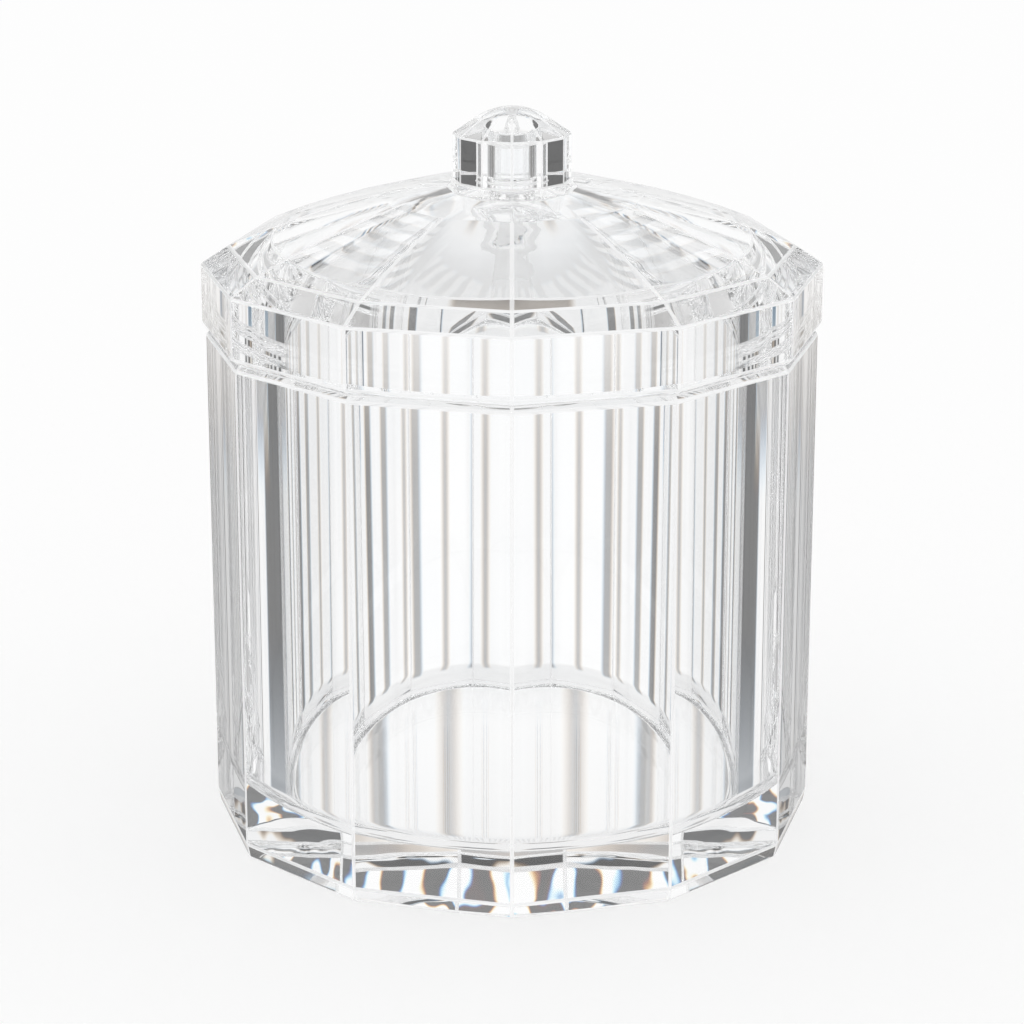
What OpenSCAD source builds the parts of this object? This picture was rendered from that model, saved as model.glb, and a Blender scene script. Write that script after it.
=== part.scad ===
// Twelve-sided clear acrylic storage jar with a lift-off lid and a faceted knob.
// The jar stands on the plane z = 0 with its axis on Z, and one corner points to -Y.
// Every outer form is the space between six pairs of parallel faces, so each facet is flat.

/* [Jar body] */
// Distance across opposite corners of the body
body_corners_d = 100; // [70:1:130]
// Height of the body, from the table to the rim that carries the lid
body_h = 83; // [50:1:140]
// Wall thickness between the round bore and the middle of each facet
wall_t = 7.7; // [3:0.1:16]
// Thickness of the solid base under the bore
base_t = 8; // [3:0.2:14]
// Radius of the fillet between the bore and its floor
floor_fillet_r = 3.6; // [1:0.1:6]
// Height of the slanted band round the foot
foot_chamfer_h = 2.4; // [1:0.1:5]
// How far the slanted band draws the foot in
foot_chamfer_in = 0.5; // [0.3:0.1:3]
// Size of the chamfer round the outside of the rim
rim_chamfer = 1; // [0.4:0.1:2]
// Size of the chamfer round the mouth of the bore
mouth_chamfer = 0.6; // [0.2:0.1:1]

/* [Lid] */
// How far each corner of the lid stands proud of the body's corner
lid_proud = 0.6; // [0:0.1:3]
// Height of the lid's upright skirt, with its lower chamfer
skirt_h = 10.7; // [6:0.1:18]
// Size of the chamfer round the bottom of the skirt
skirt_chamfer = 0.9; // [0.4:0.1:2]
// Height of the slanted band above the skirt
crown_h = 3; // [1:0.1:6]
// How far the slanted band draws the lid in
crown_in = 4.4; // [2:0.1:8]
// Slope of the twelve roof facets, in degrees
roof_slope = 17.2; // [8:0.2:26]
// How far the roof facets bow outward at mid-length
roof_bow = 1.2; // [0.2:0.1:2.4]
// Thickness of the lid's roof, measured straight up
roof_t = 4.6; // [3:0.2:9]
// Depth that the locating ring reaches into the bore
ring_depth = 1.6; // [1:0.1:6]
// Wall thickness of the locating ring
ring_wall = 2.5; // [1.6:0.1:5]
// Radial clearance between the locating ring and the bore
ring_clearance = 0.6; // [0.2:0.05:1.5]
// Diameter of the round peg that the knob is pressed on
peg_d = 6; // [4:0.1:8]
// Height of the peg above the knob's seat
peg_h = 6.2; // [3:0.1:8]
// Diameter of the moulded recess under the peg, where it opens
recess_d = 9.4; // [6:0.1:14]
// Diameter of the same recess at its closed end
recess_top_d = 6.6; // [3:0.1:10]
// Thickness left between the recess and the knob's seat
recess_roof_t = 2; // [1.2:0.1:4]

/* [Knob] */
// Distance across opposite corners of the knob
knob_corners_d = 19.2; // [14:0.1:26]
// Height of the knob's upright sides
knob_side_h = 7.6; // [4:0.1:14]
// Height of the slanted facets above the sides
knob_crown_h = 2.4; // [1:0.1:5]
// How far the slanted facets draw the knob in
knob_crown_in = 3.4; // [1:0.1:6]
// Height of the low dome on top
knob_dome_h = 1.8; // [0.4:0.1:3]
// Gap between the peg and the knob's hole, at the side and at the end
peg_clearance = 0.3; // [0.2:0.05:0.6]

/* [Hidden] */
$fn = 96;

sides = 12;
half_side_angle = 180 / sides;
// Overshoot that lets a cut pass cleanly through a face
cut = 1;
bow_steps = 6;

// Half the distance across flats for a given distance across corners
function flat_r(corners_d) = corners_d / 2 * cos(half_side_angle);

body_r = flat_r(body_corners_d);
bore_r = body_r - wall_t;

lid_r = flat_r(body_corners_d + 2 * lid_proud);
ring_r = bore_r - ring_clearance;
lid_bore_r = ring_r - ring_wall;
skirt_top_z = body_h + skirt_h;
crown_top_z = skirt_top_z + crown_h;
roof_edge_r = lid_r - crown_in;

knob_r = flat_r(knob_corners_d);
knob_z = crown_top_z + (roof_edge_r - knob_r) * tan(roof_slope);
knob_crown_z = knob_z + knob_side_h;
knob_table_z = knob_crown_z + knob_crown_h;
knob_table_r = knob_r - knob_crown_in;

// Height of the roof's outside at a distance from the axis, with its slight bow
function roof_z(r) =
    let (share = (roof_edge_r - r) / (roof_edge_r - knob_r))
    crown_top_z + (roof_edge_r - r) * tan(roof_slope) + 4 * roof_bow * share * (1 - share);

// Six crossed slabs of one profile: the profile lists [distance from axis to flat, height]
module twelve_sided(profile) {
    mirrored = [for (i = [len(profile) - 1 : -1 : 0]) [-profile[i][0], profile[i][1]]];
    depth = 4 * max([for (p = profile) p[0]]);
    intersection_for (k = [0 : sides / 2 - 1])
        rotate([90, 0, (k + 0.5) * 360 / sides])
            linear_extrude(depth, center = true)
                polygon(concat(profile, mirrored));
}

// Round bore with a filleted floor and a chamfered mouth
module bore_space() {
    fillet = [
        for (a = [-90 : 10 : 0])
            [bore_r - floor_fillet_r + floor_fillet_r * cos(a),
             base_t + floor_fillet_r + floor_fillet_r * sin(a)]
    ];
    rotate_extrude()
        polygon(concat(
            [[0, base_t]],
            fillet,
            [[bore_r, body_h - mouth_chamfer],
             [bore_r + mouth_chamfer + cut, body_h + cut],
             [0, body_h + cut]]
        ));
}

module jar_body() {
    outside = [
        [body_r - foot_chamfer_in, 0],
        [body_r, foot_chamfer_h],
        [body_r, body_h - rim_chamfer],
        [body_r - rim_chamfer, body_h]
    ];
    color([0.93, 0.95, 0.96, 0.4])
        difference() {
            twelve_sided(outside);
            bore_space();
        }
}

// Outside of the lid: skirt, slanted band and bowed roof up to the knob's seat
module lid_outside() {
    roof = [
        for (i = [1 : bow_steps])
            let (r = roof_edge_r + (knob_r - roof_edge_r) * i / bow_steps)
            [r, roof_z(r)]
    ];
    twelve_sided(concat(
        [[lid_r - skirt_chamfer, body_h],
         [lid_r, body_h + skirt_chamfer],
         [lid_r, skirt_top_z],
         [roof_edge_r, crown_top_z]],
        roof
    ));
}

// Height of the roof's underside, a plain pyramid parallel to the roof's slope
function roof_under_z(r) = crown_top_z - roof_t + (roof_edge_r - r) * tan(roof_slope);

// Round bore of the lid, closed above by the twelve faces of the underside
module lid_hollow() {
    low_z = body_h - ring_depth - cut;
    intersection() {
        translate([0, 0, low_z])
            cylinder(h = knob_z - low_z, r = lid_bore_r);
        twelve_sided([
            [lid_r, low_z],
            [lid_r, roof_under_z(lid_r)],
            [knob_r, roof_under_z(knob_r)]
        ]);
    }
}

// Tapered recess that keeps the wall even under the peg
module peg_recess() {
    recess_top_z = knob_z - recess_roof_t;
    low_z = roof_under_z(knob_r);
    rotate_extrude()
        polygon([
            [0, low_z - cut],
            [recess_d / 2, low_z - cut],
            [recess_d / 2, low_z],
            [recess_top_d / 2, recess_top_z],
            [0, recess_top_z]
        ]);
}

module lid() {
    color([0.93, 0.95, 0.96, 0.4])
        difference() {
            union() {
                lid_outside();
                translate([0, 0, body_h - ring_depth])
                    cylinder(h = ring_depth + cut, r = ring_r);
                translate([0, 0, knob_z - cut])
                    cylinder(h = peg_h + cut, r = peg_d / 2);
            }
            lid_hollow();
            peg_recess();
        }
}

module knob() {
    dome_a = 2 * atan(knob_dome_h / knob_table_r);
    dome_r = knob_table_r / sin(dome_a);
    dome = [
        for (i = [1 : bow_steps])
            let (a = dome_a * (1 - i / bow_steps))
            [dome_r * sin(a), knob_table_z + knob_dome_h - dome_r * (1 - cos(a))]
    ];
    color([0.93, 0.95, 0.96, 0.4])
        difference() {
            union() {
                twelve_sided([
                    [knob_r, knob_z],
                    [knob_r, knob_crown_z],
                    [knob_table_r, knob_table_z]
                ]);
                rotate_extrude()
                    polygon(concat([[0, knob_crown_z], [knob_table_r, knob_table_z]], dome));
            }
            translate([0, 0, knob_z - cut])
                cylinder(h = cut + peg_h + peg_clearance, r = peg_d / 2 + peg_clearance);
        }
}

jar_body();
lid();
knob();
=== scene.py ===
"""Clear twelve-sided storage jar with lid and knob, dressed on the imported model."""
import math

import bmesh
import bpy
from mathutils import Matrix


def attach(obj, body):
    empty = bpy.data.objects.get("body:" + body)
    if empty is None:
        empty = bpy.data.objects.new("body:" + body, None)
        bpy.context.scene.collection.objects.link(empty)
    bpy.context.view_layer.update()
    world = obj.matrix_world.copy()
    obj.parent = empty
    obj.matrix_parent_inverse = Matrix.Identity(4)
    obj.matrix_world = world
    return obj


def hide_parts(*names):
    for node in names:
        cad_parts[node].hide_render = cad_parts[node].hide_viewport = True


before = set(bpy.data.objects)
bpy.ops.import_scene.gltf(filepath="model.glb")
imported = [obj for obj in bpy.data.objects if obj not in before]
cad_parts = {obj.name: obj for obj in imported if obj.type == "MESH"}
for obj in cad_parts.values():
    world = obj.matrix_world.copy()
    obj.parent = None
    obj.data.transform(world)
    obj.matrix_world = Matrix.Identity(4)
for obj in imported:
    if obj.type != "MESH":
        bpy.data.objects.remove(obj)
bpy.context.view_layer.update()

MM = 0.001

# Jar body, in millimetres, as in the solid model
BODY_CORNERS_D = 100
BODY_H = 83
WALL_T = 7.7
BASE_T = 8
FLOOR_FILLET_R = 3.6
FOOT_CHAMFER_H = 2.4
FOOT_CHAMFER_IN = 0.5
RIM_CHAMFER = 1
MOUTH_CHAMFER = 0.6

# Lid, in millimetres
LID_PROUD = 0.6
SKIRT_H = 10.7
SKIRT_CHAMFER = 0.9
CROWN_H = 3
CROWN_IN = 4.4
ROOF_SLOPE = math.radians(17.2)
ROOF_BOW = 1.2
ROOF_T = 4.6
RING_DEPTH = 1.6
RING_WALL = 2.5
RING_CLEARANCE = 0.6
PEG_D = 6
PEG_H = 6.2
RECESS_D = 9.4
RECESS_TOP_D = 6.6
RECESS_ROOF_T = 2

# Knob, in millimetres
KNOB_CORNERS_D = 19.2
KNOB_SIDE_H = 7.6
KNOB_CROWN_H = 2.4
KNOB_CROWN_IN = 3.4
KNOB_DOME_H = 1.8
PEG_CLEARANCE = 0.3

# Air film between pieces that rest on each other, and under the foot, in millimetres
SEAT_FILM = 0.05
TABLE_GAP = 0.1
# Height of the faint waves in the moulded skin, in millimetres: all over, round the base, on the roof
SKIN_WAVE_MM = 0.0005
FOOT_WAVE_MM = 0.04
ROOF_WAVE_MM = 0.03
# How far inside the flats the base's waves start, and how far inside they are whole, in millimetres
FOOT_WAVE_START = 3
FOOT_WAVE_WHOLE = 1.5
# Height above the bore's floor over which they fade out, in millimetres
FOOT_WAVE_FADE = 3
# Height above the slanted band at which the roof's waves are whole, in millimetres
ROOF_WAVE_FADE = 1
# Waves and mottle in the acrylic, in features per metre
WAVE_SCALE = 120
MOTTLE_SCALE = 60
# The acrylic's mottle goes from a faint cool tone to clear
COOL_TONE = (0.985, 0.991, 0.996, 1)
CLEAR_TONE = (1, 1, 1, 1)
ACRYLIC_IOR = 1.49
# Share of the table's light that passes each skin of the acrylic
TABLE_LIGHT = 0.9

# Table: width in metres, tone and roughness
FLOOR_SIZE = 6
FLOOR_TONE = (0.985, 0.985, 0.985, 1)
FLOOR_ROUGHNESS = 0.9

# Camera: place in metres, tilt, and focal length on a 36 mm sensor
CAMERA_PLACE = (0, -0.5346, 0.2145)
CAMERA_DOWN = math.radians(16.96)
CAMERA_LENS = 118.33
# Most times that light is turned in the acrylic, and that it passes straight through
ACRYLIC_BOUNCES = 32
STRAIGHT_BOUNCES = 16

SIDES = 12
HALF_SIDE = math.pi / SIDES
STEPS_PER_SIDE = 8
BOW_STEPS = 6
FILLET_STEPS = 16
# Softly broken edges, in millimetres; flatter joints than the angle stay as they are
EDGE_MM = 0.35
KNOB_EDGE_MM = 0.25
EDGE_SEGMENTS = 3
EDGE_ANGLE = math.radians(7)
# Faces that meet within this angle are one flat
FLAT_ANGLE = math.radians(0.3)


def flat_r(corners_d):
    """Distance from the axis to a flat, for a distance across corners."""
    return corners_d / 2 * math.cos(HALF_SIDE)


BODY_R = flat_r(BODY_CORNERS_D)
BORE_R = BODY_R - WALL_T
LID_R = flat_r(BODY_CORNERS_D + 2 * LID_PROUD)
RING_R = BORE_R - RING_CLEARANCE
LID_BORE_R = RING_R - RING_WALL
SKIRT_TOP_Z = BODY_H + SKIRT_H
CROWN_TOP_Z = SKIRT_TOP_Z + CROWN_H
ROOF_EDGE_R = LID_R - CROWN_IN
KNOB_R = flat_r(KNOB_CORNERS_D)
KNOB_Z = CROWN_TOP_Z + (ROOF_EDGE_R - KNOB_R) * math.tan(ROOF_SLOPE)
KNOB_CROWN_Z = KNOB_Z + KNOB_SIDE_H
KNOB_TABLE_Z = KNOB_CROWN_Z + KNOB_CROWN_H
KNOB_TABLE_R = KNOB_R - KNOB_CROWN_IN


def ring_points(shape, r, z):
    """One closed ring: r is the radius of a round ring, or the distance to the flats."""
    count = SIDES * STEPS_PER_SIDE
    points = []
    for k in range(count):
        turn = 2 * math.pi * k / count
        radius = r
        if shape == "facet":
            off_flat = turn % (2 * HALF_SIDE) - HALF_SIDE
            radius = r / math.cos(off_flat)
        a = turn - math.pi / 2
        points.append((radius * math.cos(a) * MM, radius * math.sin(a) * MM, z * MM))
    return points


def turned(name, rings, start_z, end_z, edge_mm):
    """A closed solid through the rings, capped at both ends, with softly broken edges."""
    bm = bmesh.new()
    loops = [[bm.verts.new(p) for p in ring_points(*ring)] for ring in rings]
    count = SIDES * STEPS_PER_SIDE
    for low, high in zip(loops, loops[1:]):
        for k in range(count):
            n = (k + 1) % count
            bm.faces.new((low[k], low[n], high[n], high[k]))
    for loop, z in ((loops[0], start_z), (loops[-1], end_z)):
        middle = bm.verts.new((0, 0, z * MM))
        for k in range(count):
            bm.faces.new((middle, loop[(k + 1) % count], loop[k]))
    bmesh.ops.recalc_face_normals(bm, faces=bm.faces)
    bmesh.ops.dissolve_limit(bm, angle_limit=FLAT_ANGLE, verts=bm.verts, edges=bm.edges)
    for face in bm.faces:
        face.smooth = True
    mesh = bpy.data.meshes.new(name)
    bm.to_mesh(mesh)
    bm.free()
    piece = bpy.data.objects.new(name, mesh)
    bpy.context.scene.collection.objects.link(piece)

    broken = piece.modifiers.new("edge", "BEVEL")
    broken.width = edge_mm * MM
    broken.segments = EDGE_SEGMENTS
    broken.limit_method = "ANGLE"
    broken.angle_limit = EDGE_ANGLE
    # The bevel faces take the second material, whitish cloudy acrylic that is a painted highlight
    # along the edges
    broken.material = 1
    shading = piece.modifiers.new("shading", "WEIGHTED_NORMAL")
    shading.keep_sharp = True
    return piece


def fillet(centre_r, centre_z, radius):
    """Round rings of a concave quarter turn, from the floor up to the wall."""
    rings = []
    for i in range(FILLET_STEPS + 1):
        a = -math.pi / 2 * (1 - i / FILLET_STEPS)
        rings.append(("round", centre_r + radius * math.cos(a), centre_z + radius * math.sin(a)))
    return rings


def make_body():
    outside = [
        ("facet", BODY_R - FOOT_CHAMFER_IN, 0),
        ("facet", BODY_R, FOOT_CHAMFER_H),
        ("facet", BODY_R, BODY_H - RIM_CHAMFER),
        ("facet", BODY_R - RIM_CHAMFER, BODY_H),
    ]
    mouth = [
        ("round", BORE_R + MOUTH_CHAMFER, BODY_H),
        ("round", BORE_R, BODY_H - MOUTH_CHAMFER),
    ]
    floor = fillet(BORE_R - FLOOR_FILLET_R, BASE_T + FLOOR_FILLET_R, FLOOR_FILLET_R)[::-1]
    return turned("jar_body_clear", outside + mouth + floor, 0, BASE_T, EDGE_MM)


def roof_z(r):
    """Height of the roof's outside at a distance from the axis, with its slight bow."""
    share = (ROOF_EDGE_R - r) / (ROOF_EDGE_R - KNOB_R)
    straight = CROWN_TOP_Z + (ROOF_EDGE_R - r) * math.tan(ROOF_SLOPE)
    return straight + 4 * ROOF_BOW * share * (1 - share)


def roof_under_z(r):
    """Height of the roof's underside at a distance from the axis."""
    return CROWN_TOP_Z - ROOF_T + (ROOF_EDGE_R - r) * math.tan(ROOF_SLOPE)


def make_lid():
    seat_z = BODY_H + SEAT_FILM
    peg_top_z = KNOB_Z + PEG_H
    recess_top_z = KNOB_Z - RECESS_ROOF_T
    roof = []
    for i in range(BOW_STEPS + 1):
        r = ROOF_EDGE_R + (KNOB_R - ROOF_EDGE_R) * i / BOW_STEPS
        roof.append(("facet", r, roof_z(r)))
    inside = [
        ("round", PEG_D / 2, peg_top_z),
        ("round", PEG_D / 2, KNOB_Z),
    ]
    outside = [
        ("facet", LID_R, SKIRT_TOP_Z),
        ("facet", LID_R, BODY_H + SKIRT_CHAMFER),
        ("facet", LID_R - SKIRT_CHAMFER, seat_z),
        ("round", RING_R, seat_z),
        ("round", RING_R, BODY_H - RING_DEPTH),
        ("round", LID_BORE_R, BODY_H - RING_DEPTH),
    ]
    under = [
        ("round", LID_BORE_R, roof_under_z(LID_BORE_R)),
        ("facet", KNOB_R, roof_under_z(KNOB_R)),
        ("round", RECESS_D / 2, roof_under_z(KNOB_R)),
        ("round", RECESS_TOP_D / 2, recess_top_z),
    ]
    rings = inside + roof[::-1] + outside + under
    return turned("lid_clear", rings, peg_top_z, recess_top_z, EDGE_MM)


def make_knob():
    seat_z = KNOB_Z + SEAT_FILM
    hole_r = PEG_D / 2 + PEG_CLEARANCE
    hole_top_z = KNOB_Z + PEG_H + PEG_CLEARANCE
    dome_top_z = KNOB_TABLE_Z + KNOB_DOME_H
    dome_a = 2 * math.atan(KNOB_DOME_H / KNOB_TABLE_R)
    dome_r = KNOB_TABLE_R / math.sin(dome_a)
    dome = []
    for i in range(1, BOW_STEPS):
        a = dome_a * (1 - i / BOW_STEPS)
        dome.append(("round", dome_r * math.sin(a), dome_top_z - dome_r * (1 - math.cos(a))))
    rings = [
        ("round", hole_r, hole_top_z),
        ("round", hole_r, seat_z),
        ("facet", KNOB_R, seat_z),
        ("facet", KNOB_R, KNOB_CROWN_Z),
        ("facet", KNOB_TABLE_R, KNOB_TABLE_Z),
    ] + dome
    return turned("knob_clear", rings, hole_top_z, dome_top_z, KNOB_EDGE_MM)


def node(tree, kind, **settings):
    """A new node with its properties set."""
    made = tree.nodes.new(kind)
    for name, value in settings.items():
        setattr(made, name, value)
    return made


def feed(tree, socket, value):
    """Link an output to a socket, or set the socket's own constant."""
    if isinstance(value, bpy.types.NodeSocket):
        tree.links.new(value, socket)
    else:
        socket.default_value = value


def maths(tree, operation, *values):
    """One operation on numbers."""
    made = node(tree, "ShaderNodeMath", operation=operation)
    for socket, value in zip(made.inputs, values):
        feed(tree, socket, value)
    return made.outputs[0]


def vector_maths(tree, operation, *values):
    """One operation on vectors or colours."""
    made = node(tree, "ShaderNodeVectorMath", operation=operation)
    for socket, value in zip(made.inputs, values):
        feed(tree, socket, value)
    return made.outputs[0]


def noise(tree, place, scale):
    """A soft noise of 0 to 1 over the object."""
    made = node(tree, "ShaderNodeTexNoise")
    feed(tree, made.inputs["Vector"], place)
    feed(tree, made.inputs["Scale"], scale)
    feed(tree, made.inputs["Detail"], 1)
    return made.outputs[0]


def spread(tree, value, low, high):
    """Map the middle half of a noise onto a narrow range."""
    made = node(tree, "ShaderNodeMapRange")
    feed(tree, made.inputs["Value"], value)
    feed(tree, made.inputs["From Min"], 0.25)
    feed(tree, made.inputs["From Max"], 0.75)
    feed(tree, made.inputs["To Min"], low)
    feed(tree, made.inputs["To Max"], high)
    return made.outputs[0]


def step_between(tree, value, low, high):
    """0 below one value, 1 above the other, smooth between."""
    made = node(tree, "ShaderNodeMapRange", interpolation_type="SMOOTHSTEP")
    feed(tree, made.inputs["Value"], value)
    feed(tree, made.inputs["From Min"], low)
    feed(tree, made.inputs["From Max"], high)
    return made.outputs[0]


def skin_waves(tree, place):
    """Height of the waves: faint all over, stronger outside round the thick base and on the roof."""
    split = node(tree, "ShaderNodeSeparateXYZ")
    feed(tree, split.inputs[0], place)
    height = split.outputs[2]
    flat = node(tree, "ShaderNodeCombineXYZ")
    feed(tree, flat.inputs[0], split.outputs[0])
    feed(tree, flat.inputs[1], split.outputs[1])
    length = node(tree, "ShaderNodeVectorMath", operation="LENGTH")
    feed(tree, length.inputs[0], flat.outputs[0])

    start_r = (BODY_R - FOOT_WAVE_START) * MM
    whole_r = (BODY_R - FOOT_WAVE_WHOLE) * MM
    outside = step_between(tree, length.outputs["Value"], start_r, whole_r)
    low = step_between(tree, height, (BASE_T + FOOT_WAVE_FADE) * MM, BASE_T * MM)
    foot = maths(tree, "MULTIPLY", maths(tree, "MULTIPLY", outside, low), FOOT_WAVE_MM * MM)
    roof = step_between(tree, height, SKIRT_TOP_Z * MM, (CROWN_TOP_Z + ROOF_WAVE_FADE) * MM)
    roof = maths(tree, "MULTIPLY", roof, ROOF_WAVE_MM * MM)
    waves = maths(tree, "ADD", maths(tree, "ADD", foot, roof), SKIN_WAVE_MM * MM)
    return maths(tree, "MULTIPLY", noise(tree, place, WAVE_SCALE), waves)


def acrylic(name, rough_low, rough_high, clarity):
    """Moulded acrylic: a skin with faint waves, a faint cool tone and a faintly varied polish."""
    material = bpy.data.materials.new(name)
    material.use_nodes = True
    tree = material.node_tree
    surface = tree.nodes["Principled BSDF"]
    place = node(tree, "ShaderNodeTexCoord").outputs["Object"]

    tone = node(tree, "ShaderNodeValToRGB")
    tone.color_ramp.elements[0].position = 0.3
    tone.color_ramp.elements[0].color = COOL_TONE
    tone.color_ramp.elements[1].position = 0.7
    tone.color_ramp.elements[1].color = CLEAR_TONE
    mottle = noise(tree, place, MOTTLE_SCALE)
    feed(tree, tone.inputs[0], mottle)
    feed(tree, surface.inputs["Base Color"], tone.outputs[0])
    feed(tree, surface.inputs["Roughness"], spread(tree, mottle, rough_low, rough_high))

    wave = node(tree, "ShaderNodeBump")
    feed(tree, wave.inputs["Strength"], 1.0)
    feed(tree, wave.inputs["Distance"], 1.0)
    feed(tree, wave.inputs["Height"], skin_waves(tree, place))
    feed(tree, surface.inputs["Normal"], wave.outputs[0])

    feed(tree, surface.inputs["IOR"], ACRYLIC_IOR)
    feed(tree, surface.inputs["Transmission Weight"], clarity)

    # Most of the light that the table gathers passes the acrylic, so the jar's shadow is faint
    from_table = node(tree, "ShaderNodeLightPath").outputs["Is Diffuse Ray"]
    passing = node(tree, "ShaderNodeBsdfTransparent")
    mix = node(tree, "ShaderNodeMixShader")
    feed(tree, mix.inputs[0], maths(tree, "MULTIPLY", from_table, TABLE_LIGHT))
    feed(tree, mix.inputs[1], surface.outputs[0])
    feed(tree, mix.inputs[2], passing.outputs[0])
    feed(tree, tree.nodes["Material Output"].inputs["Surface"], mix.outputs[0])
    return material


clear = acrylic("clear_acrylic", rough_low=0.0, rough_high=0.01, clarity=1.0)
# Whitish, cloudy acrylic on the broken edges: a painted highlight that draws thin white lines along
# the edges and ridges
edges = acrylic("acrylic_edge_painted_highlight", rough_low=0.05, rough_high=0.2, clarity=0.35)
for piece, replaced in ((make_body(), "jar_body"), (make_lid(), "lid"), (make_knob(), "knob")):
    piece.data.materials.append(clear)
    piece.data.materials.append(edges)
    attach(piece, "root")
    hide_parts(replaced)


def glass_sees(tree):
    """1 for the rays that reach a surface by way of the acrylic, else 0."""
    path = node(tree, "ShaderNodeLightPath")
    return maths(tree, "MAXIMUM", path.outputs["Is Glossy Ray"], path.outputs["Is Transmission Ray"])


def make_floor():
    """A white table; the acrylic looks through it to the studio, as through a lit glass table."""
    bpy.ops.mesh.primitive_plane_add(size=FLOOR_SIZE, location=(0, 0, -TABLE_GAP * MM))
    floor = bpy.context.object
    floor.name = "studio_floor"
    material = bpy.data.materials.new("studio_floor")
    material.use_nodes = True
    tree = material.node_tree
    plain = tree.nodes["Principled BSDF"]
    feed(tree, plain.inputs["Base Color"], FLOOR_TONE)
    feed(tree, plain.inputs["Roughness"], FLOOR_ROUGHNESS)
    feed(tree, plain.inputs["Specular IOR Level"], 0.0)
    passing = node(tree, "ShaderNodeBsdfTransparent")
    mix = node(tree, "ShaderNodeMixShader")
    feed(tree, mix.inputs[0], glass_sees(tree))
    feed(tree, mix.inputs[1], plain.outputs[0])
    feed(tree, mix.inputs[2], passing.outputs[0])
    feed(tree, tree.nodes["Material Output"].inputs["Surface"], mix.outputs[0])
    floor.data.materials.append(material)


# The studio round the jar, seen only through the acrylic and alike on both sides. Angles are in
# degrees. Azimuth 0 is straight behind the jar and 180 is the camera's side. A level of 1 is white.
# Each patch is (azimuth from, to, elevation from, to, level, softness across, softness up).
WALLS = 0.2
PANELS = (
    # Tall white panel behind the jar, with a pale grey band across it
    (-30, 47, -42, 28, 1.0, 4, 6),
    (-30, 16, -10, 7, 0.86, 5, 5),
    # White panels at both sides, the second one low and towards the camera
    (65, 165, -4, 30, 1.05, 12, 20),
    (114, 181, -33, -8, 1.05, 3, 7),
    # Pale sweep below, with a dark bar, and pale ceiling
    (-30, 200, -95, -22, 0.88, 3, 6),
    (-30, 13, -72, -57, 0.2, 4, 3),
    (0, 165, 46, 95, 0.78, 8, 20),
    # Grey camera side, and grey bar over the back panel
    (168, 200, -34, 60, 0.55, 4, 6),
    (-30, 18, 45, 57, 0.3, 6, 8),
    # Dark blocks on the sweep
    (23, 33, -54, -44, 0.15, 2, 2),
    (42, 50, -54, -44, 0.2, 2, 2),
)
# Narrow uprights of the back panel's frame: (azimuth, width, level)
UPRIGHTS = ((0, 2.4, 0.5), (13, 4, 0.4), (24.5, 4.5, 0.25))
UPRIGHT_EL = (-28, -14)
UPRIGHT_SOFT = (2, 5)
# Louvres: (azimuth from, to, elevation from, to, slat pitch, light level, dark level)
LOUVRES = (
    (19, 66, -6, 20, 8, 0.8, 0.15),
    (30, 56, -16, -6, 2.4, 0.9, 0.15),
    (-30, 1.4, 20.5, 28, 0.8, 1.0, 0.2),
    (14, 21, 19.5, 28, 0.8, 1.0, 0.2),
    (34, 58, 19.5, 28, 0.8, 1.0, 0.2),
    (-30, 58, 28, 40, 2.8, 0.95, 0.1),
)
LOUVRE_SOFT = (1.5, 1.5)
SLAT_SOFT = 0.4
# Dark cards in front of all that
CARDS = (
    (30, 42, 9, 14, 0.1, 2, 2),
    (31, 41, -13.2, -9, 0.1, 2, 1),
)
# How far red and blue lie from green at every edge, which gives the faint fringes of cut acrylic
FRINGE = 0.12
LOUVRE_FRINGE = 0.02


def smooth_rgb(tree, value, low, high, dark, bright):
    """From dark to bright between two values, for red, green and blue each on their own."""
    made = node(tree, "ShaderNodeMapRange", data_type="FLOAT_VECTOR", interpolation_type="SMOOTHSTEP")
    for socket, setting in zip(made.inputs[6:11], (value, low, high, dark, bright)):
        feed(tree, socket, setting)
    return made.outputs[1]


def edge(tree, value, at, soft):
    """A soft step, a little apart for red, green and blue."""
    low = [at - soft / 2 + shift for shift in (-FRINGE, 0, FRINGE)]
    high = [at + soft / 2 + shift for shift in (-FRINGE, 0, FRINGE)]
    return smooth_rgb(tree, value, low, high, (0, 0, 0), (1, 1, 1))


def between(tree, value, limits, soft):
    """1 between two limits, 0 outside them, with soft edges."""
    return vector_maths(tree, "SUBTRACT", *[edge(tree, value, limit, soft) for limit in limits])


def window(tree, azimuth, elevation, az, el, softs):
    """1 inside a soft-edged patch of the studio, else 0."""
    wide = between(tree, azimuth, az, softs[0])
    tall = between(tree, elevation, el, softs[1])
    return vector_maths(tree, "MULTIPLY", wide, tall)


def put(tree, light, shape, level):
    """Lay a patch of a new level over the light so far."""
    if not isinstance(level, bpy.types.NodeSocket):
        level = (level, level, level)
    change = vector_maths(tree, "SUBTRACT", level, light)
    return vector_maths(tree, "MULTIPLY_ADD", shape, change, light)


def slats(tree, azimuth, pitch, bright, dark):
    """Upright slats of two levels, a little apart for red, green and blue."""
    turn = 2 * math.pi / pitch
    shift = [turn * s for s in (-LOUVRE_FRINGE, 0, LOUVRE_FRINGE)]
    wave = vector_maths(tree, "SINE", vector_maths(tree, "MULTIPLY_ADD", azimuth, (turn,) * 3, shift))
    return smooth_rgb(tree, wave, (-SLAT_SOFT,) * 3, (SLAT_SOFT,) * 3, (dark,) * 3, (bright,) * 3)


def lay_flat(tree, azimuth, elevation, light, patches):
    """Lay patches of one level each over the light so far, in their order."""
    for az_from, az_to, el_from, el_to, level, *softs in patches:
        shape = window(tree, azimuth, elevation, (az_from, az_to), (el_from, el_to), softs)
        light = put(tree, light, shape, level)
    return light


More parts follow.
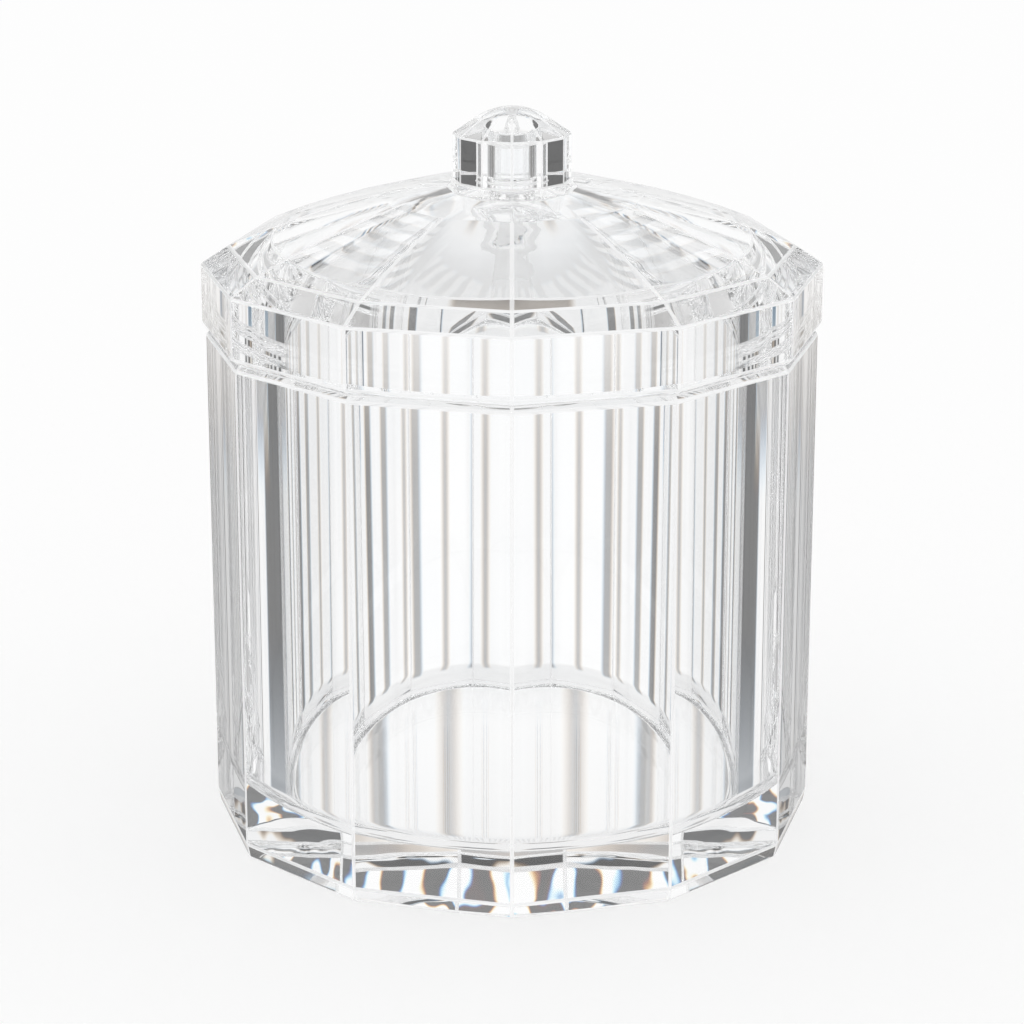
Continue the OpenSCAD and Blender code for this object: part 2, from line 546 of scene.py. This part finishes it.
def make_world():
    """White for the camera and the table; for the rays that have met the acrylic, the studio."""
    world = bpy.data.worlds.new("studio")
    bpy.context.scene.world = world
    world.use_nodes = True
    world.cycles.sampling_method = "NONE"
    tree = world.node_tree
    split = node(tree, "ShaderNodeSeparateXYZ")
    feed(tree, split.inputs[0], node(tree, "ShaderNodeTexCoord").outputs["Generated"])
    across = maths(tree, "ABSOLUTE", split.outputs[0])
    azimuth = maths(tree, "DEGREES", maths(tree, "ARCTAN2", across, split.outputs[1]))
    elevation = maths(tree, "DEGREES", maths(tree, "ARCSINE", split.outputs[2]))

    light = (WALLS, WALLS, WALLS)
    light = lay_flat(tree, azimuth, elevation, light, PANELS)
    for at, width, level in UPRIGHTS:
        az = (at - width / 2, at + width / 2)
        shape = window(tree, azimuth, elevation, az, UPRIGHT_EL, UPRIGHT_SOFT)
        light = put(tree, light, shape, level)
    for az_from, az_to, el_from, el_to, pitch, bright, dark in LOUVRES:
        shape = window(tree, azimuth, elevation, (az_from, az_to), (el_from, el_to), LOUVRE_SOFT)
        light = put(tree, light, shape, slats(tree, azimuth, pitch, bright, dark))
    light = lay_flat(tree, azimuth, elevation, light, CARDS)

    mix = node(tree, "ShaderNodeMix", data_type="RGBA")
    feed(tree, mix.inputs["Factor"], glass_sees(tree))
    feed(tree, mix.inputs[6], (1, 1, 1, 1))
    feed(tree, mix.inputs[7], light)
    feed(tree, tree.nodes["Background"].inputs["Color"], mix.outputs[2])


def make_camera():
    """The photograph's view, level from side to side and looking slightly down."""
    data = bpy.data.cameras.new("camera")
    camera = bpy.data.objects.new("camera", data)
    bpy.context.scene.collection.objects.link(camera)
    camera.location = CAMERA_PLACE
    camera.rotation_euler = (math.pi / 2 - CAMERA_DOWN, 0, 0)
    data.sensor_width = 36
    data.lens = CAMERA_LENS
    bpy.context.scene.camera = camera


make_floor()
make_world()
make_camera()
scene = bpy.context.scene
scene.view_settings.view_transform = "Standard"
scene.cycles.max_bounces = ACRYLIC_BOUNCES
scene.cycles.transmission_bounces = ACRYLIC_BOUNCES
scene.cycles.glossy_bounces = ACRYLIC_BOUNCES
scene.cycles.transparent_max_bounces = STRAIGHT_BOUNCES
